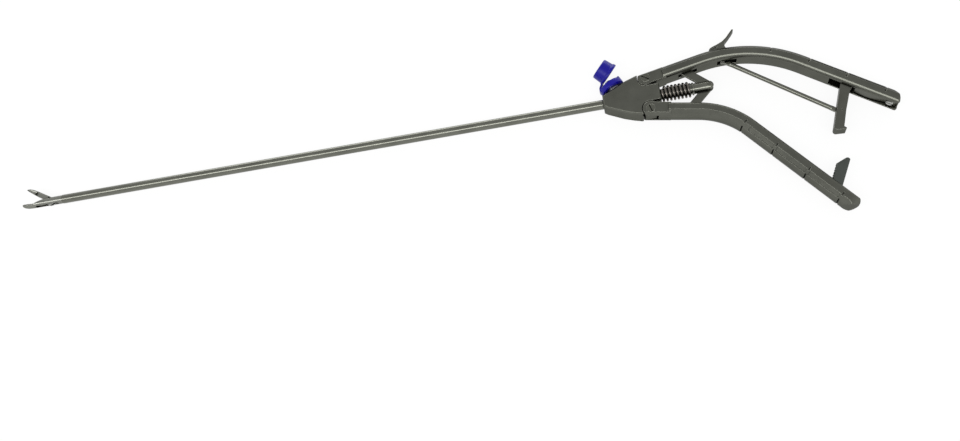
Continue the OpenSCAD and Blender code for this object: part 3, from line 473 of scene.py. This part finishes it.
class NEEDLE_OT_steel(bpy.types.Operator):
    """Gives every steel piece the finish of the real one"""
    bl_idname = "needle_holder.steel"
    bl_label = "Steel finishes"

    def execute(self, context):
        edge = context.scene.needle_sizes.steel_edge
        colours = context.scene.needle_colours
        # Partly painted: the steel colours below are set darker than bare steel. Besides their own
        # tone, this paints a dark reflection, as the world they reflect is pale.
        # Glass bead blasting leaves pits of about 0.08 mm, drawn at 0.35 mm so that they show.
        dress(SATIN_NODES, steel(
            "blasted stainless steel", colours.satin, "#94958c", 0.27, 0.35, 1, 0.015, edge))
        # A drawn tube has faint lines along it, 0.1 mm wide, drawn at 0.3 mm.
        dress(POLISHED_NODES, steel(
            "drawn stainless tube", colours.tube, "#93948b", 0.2, 0.3, 14, 0.002, 0.15, 1.0))
        # The jaws are ground and a little brighter than the levers.
        dress(JAW_NODES, steel(
            "ground stainless steel", "#85867f", "#abaca5", 0.26, 0.3, 1, 0.015, 0.15))
        # Turned parts keep fine rings and a bright face.
        dress(BRIGHT_NODES, steel(
            "turned stainless steel", "#a3a49f", "#c0c1bb", 0.2, 0.25, 1, 0.01, 0.12, 1.0))
        # Spring strip is rolled, so its marks run along it.
        dress(STRIP_NODES, steel(
            "rolled spring strip", "#6a6b65", "#8c8d86", 0.3, 0.3, 10, 0.01, 0.1))
        # Ends of pins and heads of screws are ground flush, about as dark as the levers.
        dress(PIN_NODES, steel(
            "ground pin steel", "#62635b", "#8c8d84", 0.32, 0.3, 1, 0.01, 0.1))
        # The toothed plate is hardened and keeps a dark grey oxide.
        dress(RACK_NODES, steel(
            "hardened plate steel", "#565a56", "#7d807a", 0.34, 0.35, 1, 0.02, 0.15))
        # Sintered hard metal is matt, with a cut pattern of the solid itself.
        dress(INSERT_NODES, steel(
            "sintered hard metal", "#74746e", "#9a9a94", 0.42, 0.2, 1, 0.03, 0.06))
        # Moulded seal rubber is a dull red brown.
        dress(SEAL_NODES, silicone("moulded seal rubber", "#6e2f24", "#8b5245", 0.45))
        return {"FINISHED"}


class NEEDLE_OT_stage(bpy.types.Operator):
    """Sets up the camera, the pale floor and the soft lamps"""
    bl_idname = "needle_holder.stage"
    bl_label = "Stage"

    def floor(self, context):
        low = CAD_BOX[0]
        clear_selection()
        bpy.ops.mesh.primitive_plane_add(size=6, location=(0, 0, low[2] - 0.02 * MM))
        floor = context.object
        bpy.ops.object.mode_set(mode="EDIT")
        bpy.ops.mesh.subdivide(number_cuts=2)
        bpy.ops.object.mode_set(mode="OBJECT")
        bpy.ops.object.transform_apply(location=True, rotation=True, scale=True)
        floor.name = "floor"
        material, tree = empty_material("matt white card")
        ray = add(tree, "ShaderNodeLightPath")
        seen = add(tree, "ShaderNodeMath", {"operation": "MAXIMUM"}, {
            0: ray.outputs["Is Camera Ray"], 1: ray.outputs["Is Glossy Ray"]})
        seen = add(tree, "ShaderNodeMath", {"operation": "MAXIMUM"}, {
            0: seen.outputs["Value"], 1: ray.outputs["Is Transmission Ray"]})
        share = add(tree, "ShaderNodeMath", {"operation": "MULTIPLY"}, {
            0: seen.outputs["Value"], 1: 0.9})
        card = add(tree, "ShaderNodeBsdfDiffuse", inputs={"Color": linear("#fbfbfa")})
        glow = add(tree, "ShaderNodeEmission", inputs={
            "Color": linear("#ffffff"), "Strength": 1.0})
        both = add(tree, "ShaderNodeMixShader", inputs={
            0: share.outputs["Value"], 1: card.outputs["BSDF"], 2: glow.outputs["Emission"]})
        add(tree, "ShaderNodeOutputMaterial", inputs={"Surface": both.outputs["Shader"]})
        floor.data.materials.append(material)

    def world(self, context):
        world = bpy.data.worlds.new("studio")
        world.use_nodes = True
        context.scene.world = world
        tree = world.node_tree
        tree.nodes.clear()
        # White walls down to the floor and a pale grey ceiling, as in a small photo studio.
        way = add(tree, "ShaderNodeTexCoord").outputs["Generated"]
        split = add(tree, "ShaderNodeSeparateXYZ", inputs={"Vector": way})
        wall = add(tree, "ShaderNodeMapRange", {"interpolation_type": "SMOOTHSTEP"}, {
            "Value": split.outputs["Z"], "From Min": 0.2, "From Max": 0.75,
            "To Min": 1.0, "To Max": 0.7})
        sky = add(tree, "ShaderNodeBackground", inputs={
            "Color": linear("#ffffff"), "Strength": wall.outputs["Result"]})
        add(tree, "ShaderNodeOutputWorld", inputs={"Surface": sky.outputs["Background"]})

    def lamp(self, name, spot, aim, size, level):
        """A soft box: level is the brightness of its face, where 1 is white."""
        clear_selection()
        way = Vector(aim) - Vector(spot)
        bpy.ops.object.light_add(type="AREA", location=spot,
                                 rotation=way.to_track_quat("-Z", "Y").to_euler())
        lamp = bpy.context.object
        lamp.name = name
        lamp.data.shape = "RECTANGLE"
        lamp.data.size, lamp.data.size_y = size
        lamp.data.energy = level * pi * size[0] * size[1]

    def camera(self, context):
        # The camera fitted to the photograph: its axes, its place in millimetres and its lens.
        right = Vector((0.97718, -0.09500, -0.19000))
        up = Vector((0.15627, 0.92735, 0.34000))
        back = Vector((0.14390, -0.36193, 0.92103))
        clear_selection()
        bpy.ops.object.camera_add()
        camera = context.object
        camera.name = "photo_camera"
        turn = Matrix((right, up, back)).transposed().to_4x4()
        camera.matrix_world = Matrix.Translation(Vector((-3.606, -220.584, 427.317)) * MM) @ turn
        camera.data.sensor_width = 36
        camera.data.lens = 34.35
        camera.data.clip_start = 0.01
        camera.data.clip_end = 20
        context.scene.camera = camera

    def execute(self, context):
        self.camera(context)
        self.floor(context)
        self.world(context)
        self.lamp("front_box", (-0.2, -0.47, 0.78), (-0.1, 0, 0), (1.7, 0.25), 4.4)
        self.lamp("rear_box", (0.0, 1.1, 0.16), (0, 0, 0.02), (1.6, 0.36), 3.2)
        context.scene.view_settings.view_transform = "Standard"
        return {"FINISHED"}


class NEEDLE_PT_panel(bpy.types.Panel):
    """Lists the steps of the dressing"""
    bl_label = "Needle holder"
    bl_idname = "NEEDLE_PT_panel"
    bl_space_type = "VIEW_3D"
    bl_region_type = "UI"
    bl_category = "Needle holder"

    def draw(self, context):
        column = self.layout.column()
        for group in (context.scene.needle_sizes, context.scene.needle_colours):
            for name in type(group).__annotations__:
                column.prop(group, name)
        for step in STEPS:
            column.operator(step.bl_idname)


STEPS = (NEEDLE_OT_stage, NEEDLE_OT_spring, NEEDLE_OT_cap, NEEDLE_OT_steel)
CLASSES = (NeedleHolderSizes, NeedleHolderColours) + STEPS + (NEEDLE_PT_panel,)


def register():
    for cls in CLASSES:
        bpy.utils.register_class(cls)
    bpy.types.Scene.needle_sizes = bpy.props.PointerProperty(type=NeedleHolderSizes)
    bpy.types.Scene.needle_colours = bpy.props.PointerProperty(type=NeedleHolderColours)


def unregister():
    del bpy.types.Scene.needle_colours
    del bpy.types.Scene.needle_sizes
    for cls in reversed(CLASSES):
        bpy.utils.unregister_class(cls)


def main():
    register()
    bpy.ops.needle_holder.stage()
    bpy.ops.needle_holder.spring()
    bpy.ops.needle_holder.cap()
    bpy.ops.needle_holder.steel()


if __name__ == "__main__":
    main()
